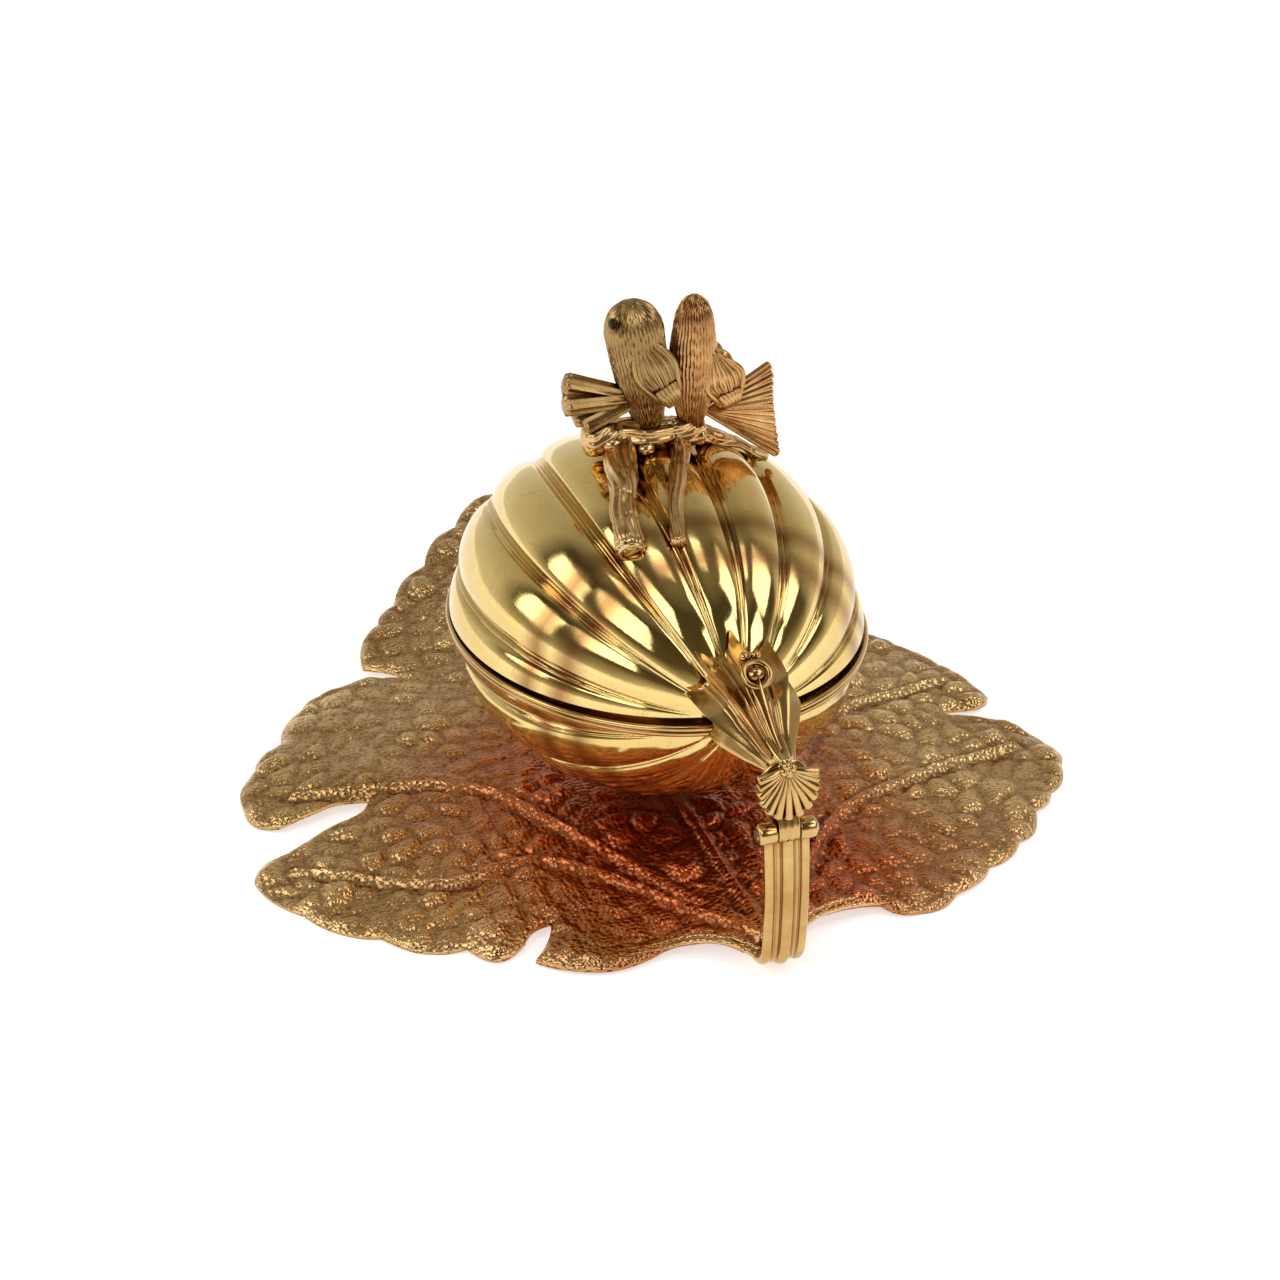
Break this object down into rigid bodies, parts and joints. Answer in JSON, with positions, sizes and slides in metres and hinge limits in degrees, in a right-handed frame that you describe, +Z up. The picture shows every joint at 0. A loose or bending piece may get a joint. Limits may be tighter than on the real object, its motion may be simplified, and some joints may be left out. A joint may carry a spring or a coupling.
{
  "type": "jewelry casket",
  "caption": "Gilt metal jewelry casket: a ribbed melon box on a vine-leaf tray, its lid hinged on the fruit's stem, with a pair of birds on a twig as the knob.",
  "frame": {"origin": "on the table under the middle of the whole casket's box", "axes": "+Z up from the table; +Y from the hinge on the stem towards the leaf's tip; +X to the right of a person who looks along +Y"},
  "size_m": [0.1796, 0.2106, 0.1129],
  "materials": {
    "gilt": "polished gold plate, worn to a darker tone in the hollows",
    "steel": "plain turned"
  },
  "bodies": {
    "base": {"leaf_tray": "gilt", "bowl": "gilt", "bowl_rim": "gilt", "bowl_foot": "gilt", "bowl_screw": "gilt", "leaf_washer": "gilt", "leaf_nut": "gilt", "lower_stem": "gilt", "stem_rivet_front": "gilt", "stem_rivet_back": "gilt", "hinge_pin": "steel"},
    "lid": {"lid": "gilt", "lid_band": "gilt", "calyx": "gilt", "calyx_rivet": "gilt", "upper_stem": "gilt", "twig": "gilt", "twig_screw_left": "gilt", "twig_screw_right": "gilt", "bird_left": "gilt", "bird_right": "gilt"}
  },
  "joints": [
    {"name": "lid_hinge", "type": "hinge", "parent": "base", "child": "lid", "pos_m": [0.00019, -0.10273, 0.033], "axis": [1, 0, 0], "range_deg": [0, 95]}
  ]
}
